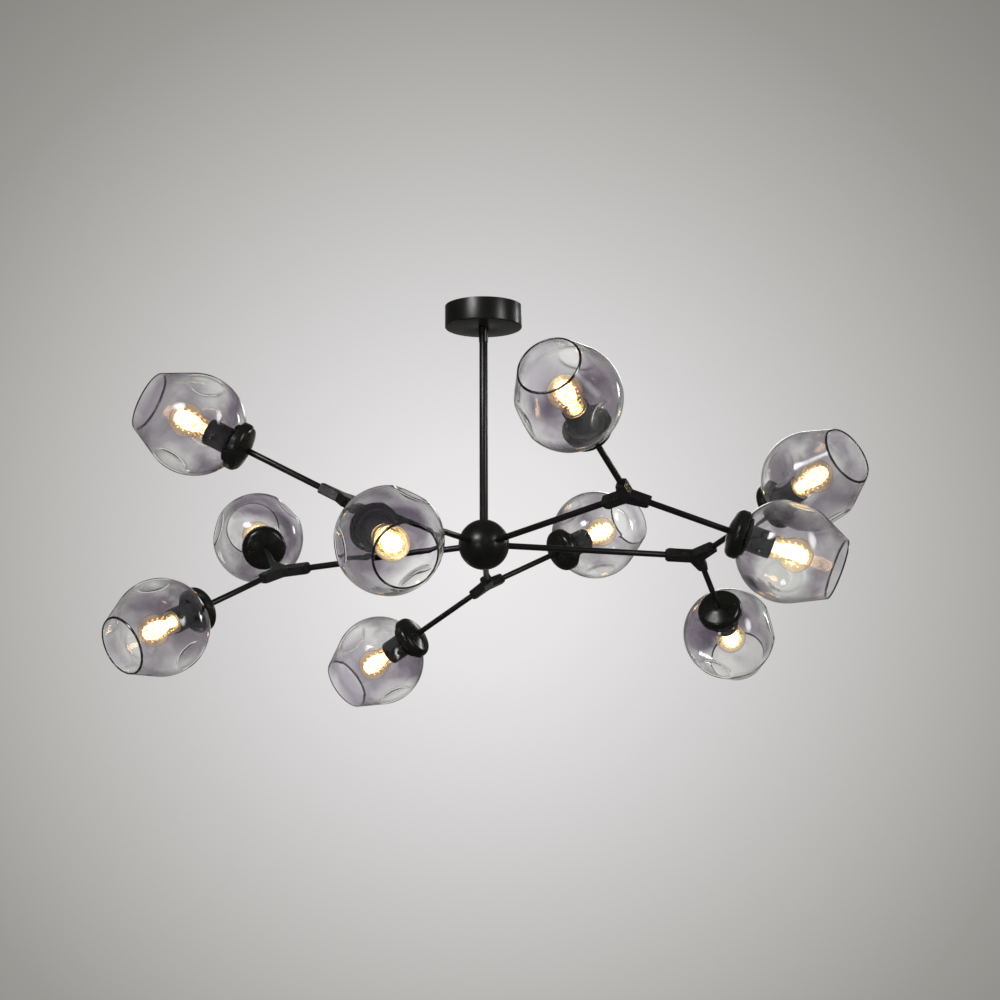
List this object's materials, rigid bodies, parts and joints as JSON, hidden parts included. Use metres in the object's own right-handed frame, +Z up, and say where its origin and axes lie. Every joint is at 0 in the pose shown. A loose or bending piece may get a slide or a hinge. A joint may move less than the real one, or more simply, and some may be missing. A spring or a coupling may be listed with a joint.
{
  "type": "branch chandelier",
  "caption": "Black branch chandelier: a ceiling stem and ball hub carry long arms that end in swivelling Y forks, whose branches hold dented smoked-glass globes over screw-base bulbs",
  "frame": {"origin": "centre of the ceiling face of the bracket, midway between its two slots, on the stem's axis", "axes": "+Z up into the ceiling, +X along the bracket and to the right in the picture, +Y away from the viewer"},
  "size_m": [1.1542, 1.1132, 0.5841],
  "materials": {
    "black_paint": "smooth semi-gloss black paint",
    "black_moulding": "matt black heat-proof moulding",
    "smoked_glass": "thin smoke-grey blown glass, polished",
    "bulb_glass": "clear bulb glass over a lit filament",
    "nickel": "nickel plated, threaded",
    "zinc_steel": "bright zinc plated steel",
    "terminal_plastic": "off-white moulded terminal block"
  },
  "bodies": {
    "frame": {"ceiling_bracket": "zinc_steel", "canopy": "black_paint", "canopy_screws": "zinc_steel", "terminal_block": "terminal_plastic", "stem_nut": "zinc_steel", "stem_collar": "black_paint", "stem_tube": "black_paint", "hub_ball": "black_paint", "main_arms": "black_paint"},
    "fork_assembly_a": {"fork_a": "black_paint", "set_screws_a": "zinc_steel", "branch_tubes_a": "black_paint", "caps_a": "black_paint", "lampholders_a": "black_moulding", "shade_rings_a": "black_moulding", "shade_up_a": "smoked_glass", "shade_down_a": "smoked_glass", "bulb_envelopes_a": "bulb_glass", "bulb_bases_a": "nickel"},
    "fork_assembly_b": {"fork_b": "black_paint", "set_screws_b": "zinc_steel", "branch_tubes_b": "black_paint", "caps_b": "black_paint", "lampholders_b": "black_moulding", "shade_rings_b": "black_moulding", "shade_up_b": "smoked_glass", "shade_down_b": "smoked_glass", "bulb_envelopes_b": "bulb_glass", "bulb_bases_b": "nickel"},
    "fork_assembly_c": {"fork_c": "black_paint", "set_screws_c": "zinc_steel", "branch_tubes_c": "black_paint", "caps_c": "black_paint", "lampholders_c": "black_moulding", "shade_rings_c": "black_moulding", "shade_up_c": "smoked_glass", "shade_down_c": "smoked_glass", "bulb_envelopes_c": "bulb_glass", "bulb_bases_c": "nickel"},
    "fork_assembly_d": {"fork_d": "black_paint", "set_screws_d": "zinc_steel", "branch_tubes_d": "black_paint", "caps_d": "black_paint", "lampholders_d": "black_moulding", "shade_rings_d": "black_moulding", "shade_up_d": "smoked_glass", "shade_down_d": "smoked_glass", "bulb_envelopes_d": "bulb_glass", "bulb_bases_d": "nickel"},
    "fork_assembly_e": {"fork_e": "black_paint", "set_screws_e": "zinc_steel", "branch_tubes_e": "black_paint", "caps_e": "black_paint", "lampholders_e": "black_moulding", "shade_rings_e": "black_moulding", "shade_up_e": "smoked_glass", "shade_down_e": "smoked_glass", "bulb_envelopes_e": "bulb_glass", "bulb_bases_e": "nickel"}
  },
  "joints": [
    {"name": "fork_a_swivel", "type": "hinge", "parent": "frame", "child": "fork_assembly_a", "pos_m": [-0.20309, -0.27851, -0.35732], "axis": [-0.5882, -0.8066, 0.0593], "range_deg": [-150, 150]},
    {"name": "fork_b_swivel", "type": "hinge", "parent": "frame", "child": "fork_assembly_b", "pos_m": [-0.32538, 0.11331, -0.40068], "axis": [-0.9423, 0.3281, -0.0663], "range_deg": [-150, 150]},
    {"name": "fork_c_swivel", "type": "hinge", "parent": "frame", "child": "fork_assembly_c", "pos_m": [0.20874, -0.27401, -0.35371], "axis": [0.6045, -0.7935, 0.0698], "range_deg": [-150, 150]},
    {"name": "fork_d_swivel", "type": "hinge", "parent": "frame", "child": "fork_assembly_d", "pos_m": [0.33558, 0.08118, -0.38322], "axis": [0.9718, 0.2351, -0.0157], "range_deg": [-150, 150]},
    {"name": "fork_e_swivel", "type": "hinge", "parent": "frame", "child": "fork_assembly_e", "pos_m": [0.00301, 0.34518, -0.38624], "axis": [0.0087, 0.9997, -0.0244], "range_deg": [-150, 150]}
  ]
}
